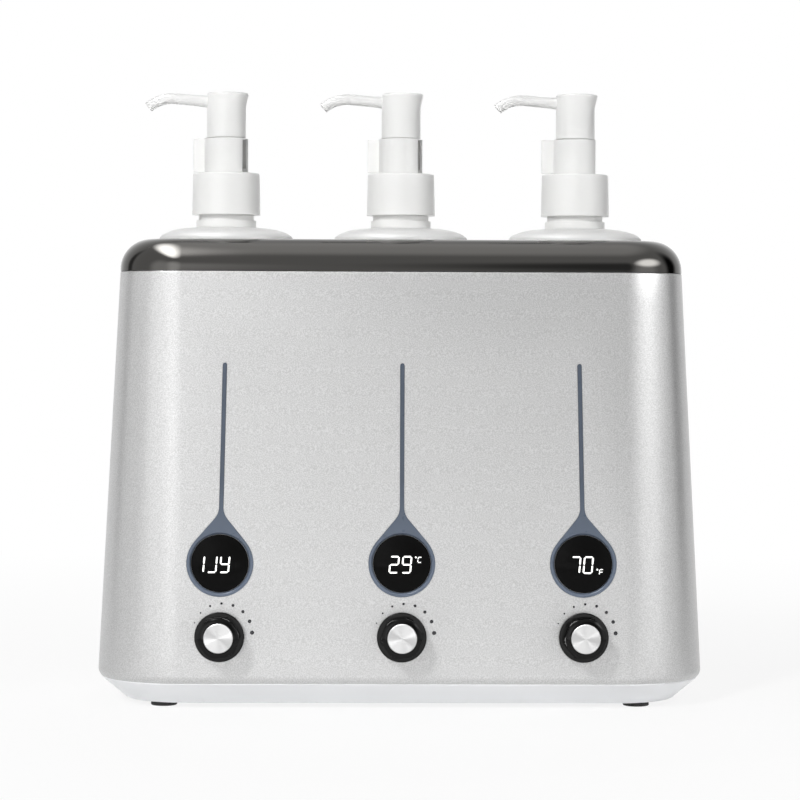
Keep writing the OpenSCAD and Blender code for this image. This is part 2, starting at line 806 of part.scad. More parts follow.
// Rubber feet with stubs in the tray
module rubber_feet() {
  color([0.08, 0.08, 0.08])
  for (sx = [-1, 1], sy = [-1, 1])
    translate([sx * foot_x, sy * foot_y, 0]) {
      rotate_extrude() polygon(concat(
        [[0, 0]],
        arc([foot_d / 2 - 0.6, 0.6], 0.6, -90, 0, 4),
        [[foot_d / 2 - 0.3, foot_h], [0, foot_h]]
      ));
      cylinder(h = foot_h + foot_stub_h, r = foot_stub_r);
    }
}

// Screws through the tray into the casing's bosses
module base_screws() {
  color([0.7, 0.7, 0.72])
  for (sx = [-1, 1], sy = [-1, 1])
    translate([sx * boss_x, sy * boss_y, base_z + base_screw_sink]) {
      cylinder(h = base_screw_head_h, r = base_screw_head_r);
      cylinder(h = base_screw_l, r = base_screw_r);
    }
}

// Frosted bottle: round heel, straight body, domed shoulder, bead and neck
module bottle(i) {
  dome_r = bead_r - 0.6;
  function dome(a, inset) =
    [dome_r - inset / 2 + (bottle_r - dome_r - inset / 2) * cos(a), shoulder_z + (dome_h - inset) * sin(a)];
  inner = bottle_r - bottle_wall;
  bore = neck_r - neck_wall;
  profile = concat(
    [[0, bottle_z]],
    arc([bottle_r - heel_r, bottle_z + heel_r], heel_r, -90, 0, 6),
    [for (a = [0 : 9 : 90]) dome(a, 0)],
    [[bead_r, bead_z], [bead_r, bead_z + bead_h], [neck_r, bead_z + bead_h], [neck_r, neck_top], [bore, neck_top],
     [bore, bead_z - bottle_wall]],
    [for (a = [72 : -9 : 0]) dome(a, bottle_wall)],
    arc([inner - heel_r + bottle_wall, bottle_z + heel_r], heel_r - bottle_wall, 0, -90, 6),
    [[0, bottle_z + bottle_wall]]
  );
  color([0.93, 0.94, 0.93]) at_pump(i) rotate_extrude() polygon(profile);
}

// Screw closure that holds the pump on the bottle
module closure(i) {
  hole_r = collar_r + fit;
  edge_r = closure_r - closure_taper - closure_edge;
  profile = concat(
    [[closure_in, closure_z], [closure_r, closure_z]],
    arc([edge_r, closure_top - closure_edge], closure_edge, 0, 90, 5),
    [[hole_r, closure_top], [hole_r, closure_top - closure_t], [closure_in, closure_top - closure_t]]
  );
  color([0.96, 0.96, 0.95]) at_pump(i) rotate_extrude() polygon(profile);
}

// Pump chamber: collar in the closure, flange on the neck, cylinder and dip tube socket
module pump_chamber(i) {
  flange_z = closure_top - closure_t;
  socket_out = dip_r + run + socket_t;
  profile = [
    [stem_r + run, closure_top], [collar_r, closure_top], [collar_r, flange_z], [chamber_flange_r, flange_z],
    [chamber_flange_r, neck_top], [chamber_r, neck_top], [chamber_r, chamber_z],
    [socket_out, chamber_z - 2], [socket_out, chamber_z - socket_h], [dip_r + run, chamber_z - socket_h],
    [dip_r + run, chamber_z], [channel_r, chamber_z], [channel_r, chamber_z + chamber_floor],
    [chamber_in, chamber_z + chamber_floor], [chamber_in, closure_top - guide_h], [stem_r + run, closure_top - guide_h]
  ];
  color([0.9, 0.9, 0.88]) at_pump(i) rotate_extrude() polygon(profile);
}

// Dip tube from the chamber to the bottle's floor
module dip_tube(i) {
  color([0.92, 0.93, 0.92])
  at_pump(i) ring(dip_r, dip_r - 0.8, bottle_z + bottle_wall + dip_gap, chamber_z);
}

// Hollow stem with the piston at its foot
module pump_stem(i) {
  profile = [
    [channel_r, piston_top - piston_h], [piston_r, piston_top - piston_h], [piston_r, piston_top],
    [stem_r, piston_top], [stem_r, stem_seat], [stem_neck_r, stem_seat], [stem_neck_r, head_z + skirt_d],
    [channel_r, head_z + skirt_d]
  ];
  color([0.95, 0.95, 0.94]) at_pump(i) rotate_extrude() polygon(profile);
}

// Puts children on the spout's rising axis: z runs out along it, x up
module on_spout() {
  translate([0, 0, spout_z]) rotate([0, spout_rise - 90, 0]) children();
}

// Bend at the spout's end, which starts a little inside the straight run
module spout_arc(r) {
  on_spout() translate([-spout_bend_r, 0, spout_l]) rotate([90, 0, 0]) rotate([0, 0, -spout_lap])
    rotate_extrude(angle = spout_bend + spout_lap) translate([spout_bend_r, 0]) circle(r = r);
}

// Pump head: barrel with a dished top and a thumb lip, a spout that bends down, a socket for the stem
module pump_head(i) {
  edge = 0.8;
  dish = 0.9;
  lip_r = head_r + thumb_lip / 2;
  top_edge = lip_r - edge;
  barrel = [
    [0, head_z + skirt_d], [skirt_in, head_z + skirt_d], [skirt_in, head_z], [head_r, head_z],
    [head_r, head_top - edge - dish], [0, head_top - edge - dish]
  ];
  top = concat(
    [[0, lip_z], [lip_r - thumb_lip - 0.2, lip_z], [lip_r, head_top - edge]],
    arc([top_edge, head_top - edge], edge, 20, 90, 4),
    [[top_edge - 1.5, head_top - dish * 0.6], [2, head_top - dish], [0, head_top - dish]]
  );
  color([0.97, 0.97, 0.96])
  at_pump(i) difference() {
    union() {
      rotate_extrude() polygon(barrel);
      translate([thumb_lip / 2, 0, 0]) rotate_extrude() polygon(top);
      ring(socket_r, stem_neck_r + run, stem_seat, head_z + skirt_d + overlap);
      on_spout() cylinder(h = spout_l, r = spout_r);
      spout_arc(spout_r - spout_step);
      on_spout() translate([0, 0, head_r - 2]) cylinder(h = 7, r1 = spout_root_r, r2 = spout_r);
    }
    translate([0, 0, stem_seat]) cylinder(h = skirt_d - 0.5 + run, r = stem_neck_r + run);
    translate([0, 0, head_z + skirt_d - over]) cylinder(h = spout_z - head_z - skirt_d + over, r = channel_r);
    on_spout() cylinder(h = spout_l, r = spout_bore);
    spout_arc(spout_bore + spout_step);
  }
}

// Clip round the stem: an open sleeve on a forked floor, with a pull tab
module lock_clip(i) {
  color([0.94, 0.94, 0.93])
  at_pump(i) translate([0, 0, closure_top]) rotate([0, 0, -clip_turn[i]]) difference() {
    union() {
      cylinder(h = clip_h, r = clip_r);
      translate([-tab_reach, -tab_t / 2, tab_up]) cube([tab_reach - clip_in, tab_t, clip_h - tab_up]);
    }
    translate([0, 0, clip_floor]) cylinder(h = clip_h, r = clip_in);
    translate([0, 0, -over]) cylinder(h = clip_h, r = clip_slot);
    translate([0, -clip_slot, -over]) cube([2 * clip_r, 2 * clip_slot, clip_h + 2 * over]);
  }
}

// Centre of the spring's wire along its helix, t from 0 to 1
function helix(t) =
  [spring_r * cos(360 * coils * t), spring_r * sin(360 * coils * t), spring_z[0] + (spring_z[1] - spring_z[0]) * t];

// Return spring under the piston
module return_spring(i) {
  rings = 8 * coils;
  sides = 6;
  points = [
    for (k = [0 : rings], s = [0 : sides - 1])
      let (c = helix(k / rings), a = 360 * coils * k / rings, b = 360 * s / sides)
      c + wire_r * [cos(b) * cos(a), cos(b) * sin(a), sin(b)]
  ];
  walls = [
    for (k = [0 : rings - 1], s = [0 : sides - 1])
      let (p = k * sides + s, q = k * sides + (s + 1) % sides)
      each [[p, q, p + sides], [q, q + sides, p + sides]]
  ];
  ends = [
    for (s = [1 : sides - 2])
      each [[0, s + 1, s], [rings * sides, rings * sides + s, rings * sides + s + 1]]
  ];
  color([0.75, 0.76, 0.78]) at_pump(i) polyhedron(points, concat(walls, ends));
}

// Least gap between two coils of a return spring, measured on its points
spring_gap = min([for (k = [0 : 7]) norm(helix(k / 8 / coils + 1 / coils) - helix(k / 8 / coils))]) - 2 * wire_r;
echo(spring_gap = spring_gap);

module placed() {
  translate([0, origin_y, 0]) children();
}

placed() base_tray();
placed() casing();
placed() top_cover();
placed() well_deck();
placed() well_seals();
placed() heating_films();
placed() temperature_sensors();
placed() control_board();
placed() board_screws();
placed() display_modules();
placed() dial_switches();
placed() switch_nuts();
placed() power_inlet();
placed() rubber_feet();
placed() base_screws();
for (i = [0 : 2]) {
  placed() heating_well(i);
  placed() bezel(i);
  placed() display_window(i);
  placed() knob_grip(i);
  placed() knob_cap(i);
  placed() switch_shaft(i);
  placed() bottle(i);
  placed() closure(i);
  placed() pump_chamber(i);
  placed() dip_tube(i);
  placed() return_spring(i);
  placed() pump_stem(i);
  placed() pump_head(i);
  placed() lock_clip(i);
}
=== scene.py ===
"""Dresses the packed massage oil warmer: finishes, printed scales, lit displays and a studio stage."""

import json
import math

import bmesh
import bpy
from mathutils import Matrix, Vector


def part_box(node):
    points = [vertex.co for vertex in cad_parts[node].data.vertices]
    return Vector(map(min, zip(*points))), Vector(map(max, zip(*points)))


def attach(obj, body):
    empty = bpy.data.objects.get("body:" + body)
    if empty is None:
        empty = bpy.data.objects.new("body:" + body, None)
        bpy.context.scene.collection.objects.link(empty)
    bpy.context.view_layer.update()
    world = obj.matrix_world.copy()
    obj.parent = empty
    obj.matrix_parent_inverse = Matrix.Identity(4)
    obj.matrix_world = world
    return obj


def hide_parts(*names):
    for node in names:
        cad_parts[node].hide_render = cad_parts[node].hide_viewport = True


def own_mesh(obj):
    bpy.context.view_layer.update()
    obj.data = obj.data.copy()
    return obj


bl_info = {
    "name": "Massage Oil Warmer",
    "version": (1, 0, 0),
    "blender": (4, 5, 0),
    "location": "View3D > Sidebar > Oil Warmer",
    "description": "Finishes, displays and a studio stage for a massage oil warmer",
    "category": "Object",
}

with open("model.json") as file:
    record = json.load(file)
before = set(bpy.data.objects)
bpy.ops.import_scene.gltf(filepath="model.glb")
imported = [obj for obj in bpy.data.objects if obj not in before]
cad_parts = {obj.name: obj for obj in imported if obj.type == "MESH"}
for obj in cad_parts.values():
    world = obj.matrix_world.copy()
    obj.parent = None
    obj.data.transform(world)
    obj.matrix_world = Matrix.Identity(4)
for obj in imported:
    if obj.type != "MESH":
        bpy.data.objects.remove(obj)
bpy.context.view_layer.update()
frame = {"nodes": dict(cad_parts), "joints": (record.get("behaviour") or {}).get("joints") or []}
NODES = frame["nodes"]
JOINTS = {joint["name"]: joint for joint in frame["joints"]}
SIDES = ("left", "middle", "right")

# Segments of a lit digit: a top, b and c right, d bottom, e and f left, g middle
DIGITS = {
    "0": "abcdef", "1": "bc", "2": "abdeg", "3": "abcdg", "4": "bcfg", "5": "acdfg", "6": "acdefg",
    "7": "abc", "8": "abcdefg", "9": "abcdfg", "J": "bcd", "y": "bcdfg", " ": "",
}
UNITS = {"C": "adef", "F": "aefg"}
SEGMENT_THICKNESS = 0.00004
# Gap at a segment's ends, as a share of its stroke
SEGMENT_GAP = 0.16

# Places on a display window, in metres right of its centre and above it
THIRD_DIGIT = (0.0021, -0.0004)
UNIT_PLACES = {"C": (0.0077, 0.0017), "F": (0.0077, -0.0034)}
UNIT_WIDTH = 0.0019
UNIT_HEIGHT = 0.0026
UNIT_STROKE = 0.00038
# The degree sign's place is measured from the middle of its unit
DEGREE_PLACE = (-0.0017, 0.0011)
DEGREE_OUTER = 0.00042
DEGREE_INNER = 0.00018

# Height of a printed dot, as a share of its diameter
DOT_RISE = 0.06

# Range that most of a noise field lies in
NOISE_LOW = 0.3
NOISE_HIGH = 0.7
# Heights in metres between which the bezels' slate goes from a painted highlight to painted shade
PAINTED_HIGHLIGHT_HEIGHT = 0.048
PAINTED_SHADE_HEIGHT = 0.1
# How far light spreads inside the milky plastics
MILKY = {"Subsurface_Radius": (1, 1, 1), "Subsurface_Scale": 0.003}
SEGMENT_WHITE = (0.9, 0.9, 0.88)
WELD_DISTANCE = 0.000002
SHARP_ANGLE = math.radians(28)

# Lamps and cards of the studio: place and size in metres, while WarmerStage holds how bright each is
LAMPS = {
    "key_light": ((-0.76, -1.5, 1.12), (0.24, 0.24)),
    "top_light": ((0, -0.1, 1.9), (1.3, 1.3)),
    "low_light": ((-0.1, -1.5, 0.05), (1.0, 0.12)),
    "back_light": ((0.25, 1.7, 0.75), (1.2, 0.8)),
}
CARDS = {
    "strip_card": ((1.15, -0.95, 0.22), (1.45, 1.4)),
    "side_card": ((-0.72, -1.78, 0.5), (1.4, 1.5)),
    "wing_card": ((-1.1, -1.1, 0.35), (1.3, 1.6)),
    "ceiling_card": ((0, -0.1, 1.9), (3.0, 3.0)),
    "front_card": ((0, -0.25, 0.002), (1.2, 0.6)),
    "left_glow": ((-0.64, -0.5, 1.6), (1.0, 2.9)),
    "right_glow": ((0.93, -0.6, 0.68), (1.3, 0.68)),
    "front_flag": ((0.4, -1.5, 0.55), (1.0, 1.2)),
    "right_flag": ((1.28, 0.35, 0.4), (0.9, 2.2)),
    "left_flag": ((-1.25, 0.45, 0.4), (0.45, 2.2)),
}
# Lamps that glossy surfaces show, cards that light the warmer too, and cards that lie level
MIRRORED_LAMPS = ("low_light",)
LIGHTING_CARDS = ("strip_card",)
LEVEL_CARDS = ("ceiling_card", "front_card", "left_glow")
# Point that the lamps and the other cards face
MIDDLE = Vector((0, 0, 0.12))
# Distances from a card's centre, as shares of its size, at which its light ends and is full
CARD_HALF = 0.5
CARD_CORE = 0.15
FLOOR_HALF = 6
FLOOR_COLOUR = (0.9, 0.9, 0.9)
SENSOR_MM = 36
NEAREST_SEEN = 0.05


# Places on the front face


def shift(x, y):
    """Matrix that moves by x and y on a face."""
    return Matrix.Translation((x, y, 0))


def knob_frame(side):
    """Matrix at a knob's centre on the front face: x across, y up the face, z out of it."""
    joint = JOINTS[f"knob_turn_{side}"]
    out = Vector(joint["axis"]).normalized()
    across = Vector((1, 0, 0))
    up = out.cross(across)
    turn = Matrix((across, up, out)).transposed().to_4x4()
    return Matrix.Translation(joint["pos_m"]) @ turn


def window_frame(side):
    """Matrix at a display window's centre, with z = 0 on its front."""
    base = knob_frame(side)
    inverse = base.inverted()
    points = [inverse @ v.co for v in NODES[f"display_window_{side}"].data.vertices]
    middle = [(min(p[k] for p in points) + max(p[k] for p in points)) / 2 for k in (0, 1)]
    front = max(p[2] for p in points)
    return base @ Matrix.Translation((middle[0], middle[1], front))


# Meshes of the pieces


def new_piece(name, mesh, material, body):
    """Makes a piece of a bmesh and lets it ride on a body."""
    data = bpy.data.meshes.new(name)
    mesh.to_mesh(data)
    mesh.free()
    piece = bpy.data.objects.new(name, data)
    bpy.context.scene.collection.objects.link(piece)
    data.materials.append(material)
    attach(piece, body)
    return piece


def add_coil(mesh, low, high, wire, coils, steps=24, sides=8):
    """Adds one unbroken wire that winds up through a box."""
    middle = (low + high) / 2
    radius = (high.x - low.x) / 2 - wire
    rows = []
    for k in range(coils * steps + 1):
        share = k / (coils * steps)
        turn = 2 * math.pi * coils * share
        z = low.z + wire + (high.z - low.z - 2 * wire) * share
        row = []
        for b in (2 * math.pi * i / sides for i in range(sides)):
            r = radius + wire * math.cos(b)
            spot = (middle.x + r * math.cos(turn), middle.y + r * math.sin(turn), z + wire * math.sin(b))
            row.append(mesh.verts.new(spot))
        rows.append(row)
    for one, two in zip(rows, rows[1:]):
        for i in range(sides):
            mesh.faces.new((one[i], two[i], two[i - 1], one[i - 1]))
    mesh.faces.new(rows[0])
    mesh.faces.new(rows[-1])
    bmesh.ops.recalc_face_normals(mesh, faces=mesh.faces[:])


def add_dome(mesh, place, radius, height, sides=28, rings=5):
    """Adds a shallow dome that stands on the place's x-y plane."""
    rows = []
    for k in range(rings):
        a = math.pi / 2 * k / rings
        r = radius * math.cos(a)
        z = height * math.sin(a)
        rows.append([
            mesh.verts.new(place @ Vector((r * math.cos(t), r * math.sin(t), z)))
            for t in (2 * math.pi * s / sides for s in range(sides))
        ])
    top = mesh.verts.new(place @ Vector((0, 0, height)))
    for low, high in zip(rows, rows[1:]):
        for s in range(sides):
            n = (s + 1) % sides
            mesh.faces.new((low[s], low[n], high[n], high[s])).smooth = True
    for s in range(sides):
        mesh.faces.new((rows[-1][s], rows[-1][(s + 1) % sides], top)).smooth = True
    mesh.faces.new(list(reversed(rows[0])))


def add_plate(mesh, place, outline, thickness):
    """Adds a flat plate with the given outline, which stands on the place's x-y plane."""
    bottom = [mesh.verts.new(place @ Vector((x, y, 0))) for x, y in outline]
    top = [mesh.verts.new(place @ Vector((x, y, thickness))) for x, y in outline]
    mesh.faces.new(top)
    mesh.faces.new(list(reversed(bottom)))
    for k in range(len(outline)):
        n = (k + 1) % len(outline)
        mesh.faces.new((bottom[k], bottom[n], top[n], top[k]))


def segment_outline(key, width, height, stroke):
    """Outline of one segment of a digit that is centred on 0, with mitred ends."""
    gap = stroke * SEGMENT_GAP
    half = stroke / 2
    bars = {"a": height / 2 - half, "g": 0, "d": half - height / 2}
    if key in bars:
        x, y = width / 2 - half - gap, bars[key]
        return [(-x, y), (half - x, y - half), (x - half, y - half),
                (x, y), (x - half, y + half), (half - x, y + half)]
    side = 1 if key in "bc" else -1
    x = side * (width / 2 - half)
    low, high = (gap, height / 2 - half - gap) if key in "bf" else (half + gap - height / 2, -gap)
    return [(x, low), (x + half, low + half), (x + half, high - half),
            (x, high), (x - half, high - half), (x - half, low + half)]


def add_digit(mesh, place, lit, width, height, stroke, slant):
    """Adds the lit segments of one digit, slanted to the right."""
    lean = math.tan(slant)
    for key in lit:
        outline = [(x + y * lean, y) for x, y in segment_outline(key, width, height, stroke)]
        add_plate(mesh, place, outline, SEGMENT_THICKNESS)


def add_ring(mesh, place, outer, inner, sides=20):
    """Adds a flat ring, such as a degree sign."""
    for k in range(sides):
        a, b = (2 * math.pi * s / sides for s in (k, k + 1))
        corners = ((inner, a), (outer, a), (outer, b), (inner, b))
        outline = [(r * math.cos(t), r * math.sin(t)) for r, t in corners]
        add_plate(mesh, place, outline, SEGMENT_THICKNESS)


# Steps that the materials share


def new_material(name):
    """A material with its first nodes, and its node tree."""
    material = bpy.data.materials.new(name)
    material.use_nodes = True
    return material, material.node_tree


def new_finish(name, colour, roughness, **inputs):
    """A material whose shader sockets are set; returns it with its node tree and shader."""
    material, tree = new_material(name)
    shader = tree.nodes["Principled BSDF"]
    shader.inputs["Base Color"].default_value = (*colour[:3], 1)
    shader.inputs["Roughness"].default_value = roughness
    for key, value in inputs.items():
        shader.inputs[key.replace("_", " ")].default_value = value
    material.diffuse_color = (*colour[:3], 1)
    return material, tree, shader


def add_node(tree, kind, values=None, **settings):
    """A new node with its settings and the values of its sockets."""
    node = tree.nodes.new(kind)
    for key, value in settings.items():
        setattr(node, key, value)
    for key, value in (values or {}).items():
        node.inputs[key].default_value = value
    return node


def noise_field(tree, scale, detail=2.0, axis_scales=(1, 1, 1)):
    """Noise over the piece in its own metres, drawn out along an axis whose scale is below 1."""
    coords = add_node(tree, "ShaderNodeTexCoord")
    mapping = add_node(tree, "ShaderNodeMapping", {"Scale": axis_scales})
    noise = add_node(tree, "ShaderNodeTexNoise", {"Scale": scale, "Detail": detail})
    tree.links.new(coords.outputs["Object"], mapping.inputs["Vector"])
    tree.links.new(mapping.outputs["Vector"], noise.inputs["Vector"])
    return noise.outputs["Fac"]


def centre_field(tree, start, end, start_value=0.0, end_value=1.0, **settings):
    """Field that goes from one value to another between two distances from the sheet's centre."""
    coords = add_node(tree, "ShaderNodeTexCoord")
    away = add_node(tree, "ShaderNodeVectorMath", operation="LENGTH")
    spread = add_node(
        tree, "ShaderNodeMapRange",
        {"From Min": start, "From Max": end, "To Min": start_value, "To Max": end_value}, **settings)
    tree.links.new(coords.outputs["Object"], away.inputs[0])
    tree.links.new(away.outputs["Value"], spread.inputs["Value"])
    return spread.outputs["Result"]


def spread_noise(tree, field, low, high):
    """Spreads a noise field from the low value to the high one."""
    spread = add_node(
        tree, "ShaderNodeMapRange",
        {"From Min": NOISE_LOW, "From Max": NOISE_HIGH, "To Min": low, "To Max": high})
    tree.links.new(field, spread.inputs["Value"])
    return spread.outputs["Result"]


def vary_colour(tree, shader, field, colour, spread, low=NOISE_LOW, high=NOISE_HIGH):
    """Lets the base colour swing about the given one by the spread."""
    ramp = add_node(tree, "ShaderNodeValToRGB")
    ramp.color_ramp.elements[0].position = low
    ramp.color_ramp.elements[1].position = high
    ramp.color_ramp.elements[0].color = (*[c * (1 - spread) for c in colour[:3]], 1)
    ramp.color_ramp.elements[1].color = (*[min(1, c * (1 + spread)) for c in colour[:3]], 1)
    tree.links.new(field, ramp.inputs["Fac"])
    tree.links.new(ramp.outputs["Color"], shader.inputs["Base Color"])


def vary_roughness(tree, shader, field, low, high):
    """Lets the roughness swing between two values."""
    tree.links.new(spread_noise(tree, field, low, high), shader.inputs["Roughness"])


def add_relief(tree, shader, field, height, strength, edge=0.0):
    """Bump from a field, over softened edges if an edge radius is given."""
    bump = add_node(tree, "ShaderNodeBump", {"Distance": height, "Strength": strength})
    tree.links.new(field, bump.inputs["Height"])
    if edge:
        bevel = add_node(tree, "ShaderNodeBevel", {"Radius": edge}, samples=6)
        tree.links.new(bevel.outputs["Normal"], bump.inputs["Normal"])
    tree.links.new(bump.outputs["Normal"], shader.inputs["Normal"])


def blend_surface(tree, share, first, second):
    """Gives a material two shaders, with the second one's share from a field."""
    blend = add_node(tree, "ShaderNodeMixShader")
    tree.links.new(share, blend.inputs[0])
    tree.links.new(first.outputs[0], blend.inputs[1])
    tree.links.new(second.outputs[0], blend.inputs[2])
    tree.links.new(blend.outputs[0], tree.nodes["Material Output"].inputs["Surface"])


# Finishes


def sanded_silver(colour, grain):
    """Fine blasted silver paint."""
    material, tree, shader = new_finish("sanded_silver", colour, roughness=0.31, Metallic=0.5)
    vary_colour(tree, shader, noise_field(tree, 1 / grain, detail=0.0), colour, spread=0.13)
    vary_roughness(tree, shader, noise_field(tree, scale=14, detail=3), low=0.3, high=0.32)
    add_relief(tree, shader, noise_field(tree, 2.2 / grain, detail=1.5), height=0.00003, strength=0.15)
    return material


def dark_chrome(colour):
    """Smoked chrome with a faint wipe haze."""
    material, tree, shader = new_finish("dark_chrome", colour, roughness=0.08, Metallic=1.0)
    vary_colour(tree, shader, noise_field(tree, scale=9), colour, spread=0.03)
    vary_roughness(tree, shader, noise_field(tree, scale=40, detail=4), low=0.07, high=0.1)
    add_relief(tree, shader, noise_field(tree, scale=900), height=0.000002, strength=0.1)
    return material


def moulded(name, colour, roughness, texture=0.0004, depth=0.00001, spread=0.02, edge=0.00025, **inputs):
    """Moulded plastic: a fine spark-eroded skin, slight colour drift and soft edges."""
    material, tree, shader = new_finish(name, colour, roughness, **inputs)
    vary_colour(tree, shader, noise_field(tree, scale=22, detail=3), colour, spread)
    skin = noise_field(tree, scale=400, detail=3)
    vary_roughness(tree, shader, skin, low=roughness * 0.92, high=roughness * 1.08)
    add_relief(tree, shader, noise_field(tree, 1 / texture), depth, strength=0.25, edge=edge)
    return material


def slate_paint(colour):
    """Slate lacquer with a painted highlight on the ring's lower edge and painted shade up the tail."""
    material, tree, shader = new_finish("slate_paint", colour, roughness=0.3, Specular_IOR_Level=0.35)
    coords = add_node(tree, "ShaderNodeTexCoord")
    axes = add_node(tree, "ShaderNodeSeparateXYZ")
    # Painted light: the slate is lighter low on the bezel as a painted highlight and darker up the tail as
    # painted shade
    painted_light_share = add_node(
        tree, "ShaderNodeMapRange",
        {"From Min": PAINTED_HIGHLIGHT_HEIGHT, "From Max": PAINTED_SHADE_HEIGHT, "To Min": 1.0, "To Max": 0.0})
    tree.links.new(coords.outputs["Object"], axes.inputs[0])
    tree.links.new(axes.outputs["Z"], painted_light_share.inputs["Value"])
    vary_colour(tree, shader, painted_light_share.outputs["Result"], colour, spread=0.3, low=0, high=1)
    vary_roughness(tree, shader, noise_field(tree, scale=400, detail=3), low=0.27, high=0.33)
    add_relief(tree, shader, noise_field(tree, scale=2500), height=0.00001, strength=0.25, edge=0.0002)
    return material


def worked_metal(name, colour, roughness, axis_scales=(1, 1, 1)):
    """Plated or drawn metal: a fine grain, or lines along an axis whose scale is below 1."""
    material, tree, shader = new_finish(name, colour, roughness, Metallic=1.0)
    lines = noise_field(tree, scale=900, detail=3, axis_scales=axis_scales)
    vary_colour(tree, shader, lines, colour, spread=0.05)
    vary_roughness(tree, shader, lines, low=roughness * 0.8, high=roughness * 1.2)
    add_relief(tree, shader, lines, height=0.00001, strength=0.2, edge=0.0002)
    return material


def spun_metal(name, colour, centre):
    """Lathe-turned aluminium: rings about the cap's axis and streaked light."""
    material, tree, shader = new_finish(name, colour, roughness=0.4, Metallic=1.0, Anisotropic=0.9)
    coords = add_node(tree, "ShaderNodeTexCoord")
    from_centre = add_node(tree, "ShaderNodeVectorMath", {1: centre}, operation="SUBTRACT")
    rings = add_node(
        tree, "ShaderNodeTexWave", {"Scale": 700, "Distortion": 0.6, "Detail": 2},
        wave_type="RINGS", rings_direction="Y")
    tree.links.new(coords.outputs["Object"], from_centre.inputs[0])
    tree.links.new(from_centre.outputs["Vector"], rings.inputs["Vector"])
    vary_colour(tree, shader, rings.outputs["Fac"], colour, spread=0.03)
    add_relief(tree, shader, rings.outputs["Fac"], height=0.000006, strength=0.35, edge=0.0002)
    tangent = add_node(tree, "ShaderNodeTangent", direction_type="RADIAL", axis="Y")
    tree.links.new(tangent.outputs["Tangent"], shader.inputs["Tangent"])
    return material


def lit_segments(light, strength):
    """Glowing segments with a slight fall-off in the light across each digit."""
    material, tree, shader = new_finish(
        "lit_segments", SEGMENT_WHITE, roughness=0.4, Emission_Color=(*light[:3], 1))
    glow = spread_noise(tree, noise_field(tree, scale=900, detail=1), strength * 0.85, strength)
    tree.links.new(glow, shader.inputs["Emission Strength"])
    return material


def circuit_board(colour):
    """Green solder mask with fine copper tracks under it."""
    material, tree, shader = new_finish("circuit_board", colour, roughness=0.35)
    mask, shade, track = ((*[c * share for c in colour[:3]], 1) for share in (1, 0.8, 1.7))
    tracks = add_node(
        tree, "ShaderNodeTexBrick",
        {"Scale": 160, "Mortar Size": 0.03, "Color1": mask, "Color2": shade, "Mortar": track})
    coords = add_node(tree, "ShaderNodeTexCoord")
    upright = add_node(tree, "ShaderNodeMapping", {"Rotation": (math.pi / 2, 0, 0)})
    tree.links.new(coords.outputs["Object"], upright.inputs["Vector"])
    tree.links.new(upright.outputs["Vector"], tracks.inputs["Vector"])
    tree.links.new(tracks.outputs["Color"], shader.inputs["Base Color"])
    add_relief(tree, shader, tracks.outputs["Fac"], height=0.00003, strength=0.3)
    return material


# Dressing of the CAD nodes


def smooth_curves():
    """Node group that shades gentle curves smooth and keeps real edges sharp."""
    group = bpy.data.node_groups.get("smooth_curves")
    if group:
        return group
    group = bpy.data.node_groups.new("smooth_curves", "GeometryNodeTree")
    group.interface.new_socket("Geometry", in_out="INPUT", socket_type="NodeSocketGeometry")
    group.interface.new_socket("Geometry", in_out="OUTPUT", socket_type="NodeSocketGeometry")
    start = group.nodes.new("NodeGroupInput")
    end = group.nodes.new("NodeGroupOutput")
    weld = add_node(group, "GeometryNodeMergeByDistance", {"Distance": WELD_DISTANCE})
    angle = group.nodes.new("GeometryNodeInputMeshEdgeAngle")
    gentle = add_node(
        group, "FunctionNodeCompare", {1: SHARP_ANGLE}, data_type="FLOAT", operation="LESS_EQUAL")
    faces = add_node(group, "GeometryNodeSetShadeSmooth", domain="FACE")
    edges = add_node(group, "GeometryNodeSetShadeSmooth", domain="EDGE")
    group.links.new(start.outputs["Geometry"], weld.inputs["Geometry"])
    group.links.new(weld.outputs["Geometry"], faces.inputs["Geometry"])
    group.links.new(faces.outputs["Geometry"], edges.inputs["Geometry"])
    group.links.new(angle.outputs["Unsigned Angle"], gentle.inputs[0])
    group.links.new(gentle.outputs["Result"], edges.inputs["Shade Smooth"])
    group.links.new(edges.outputs["Geometry"], end.inputs["Geometry"])
    return group


def dress(nodes, material):
    """Gives CAD nodes a material and smooth shading of their curves."""
    for name in nodes:
        node = NODES[name]
        node.data.materials.clear()
        node.data.materials.append(material)
        modifier = node.modifiers.new("smooth_curves", "NODES")
        modifier.node_group = smooth_curves()


def each_side(*pieces):
    """Names of the nodes that these pieces have at the three stations."""
    return [f"{piece}_{side}" for piece in pieces for side in SIDES]


# Sizes, colours and light that a user can change


def colour_property(name, description, default):
    """A colour, as the shaders take it."""
    return bpy.props.FloatVectorProperty(
        name=name, description=description, default=default, subtype="COLOR", size=3, min=0, max=1)


def length_property(name, description, default, low=0.0, high=10.0):
    """A length in metres."""
    return bpy.props.FloatProperty(
        name=name, description=description, default=default, min=low, max=high, subtype="DISTANCE",
        unit="LENGTH", precision=5)


def place_property(name, description, default):
    """A place in metres."""
    return bpy.props.FloatVectorProperty(
        name=name, description=description, default=default, subtype="TRANSLATION", unit="LENGTH", size=3)


def angle_property(name, description, degrees):
    """An angle, whose default is given in degrees."""
    return bpy.props.FloatProperty(
        name=name, description=description, default=math.radians(degrees), subtype="ANGLE", unit="ROTATION")


def power_property(name, description, default):
    """Power of a lamp in watts."""
    return bpy.props.FloatProperty(name=name, description=description, default=default, min=0, unit="POWER")


def level_property(name, description, default):
    """A brightness, with 1 for white."""
    return bpy.props.FloatProperty(name=name, description=description, default=default, min=0)


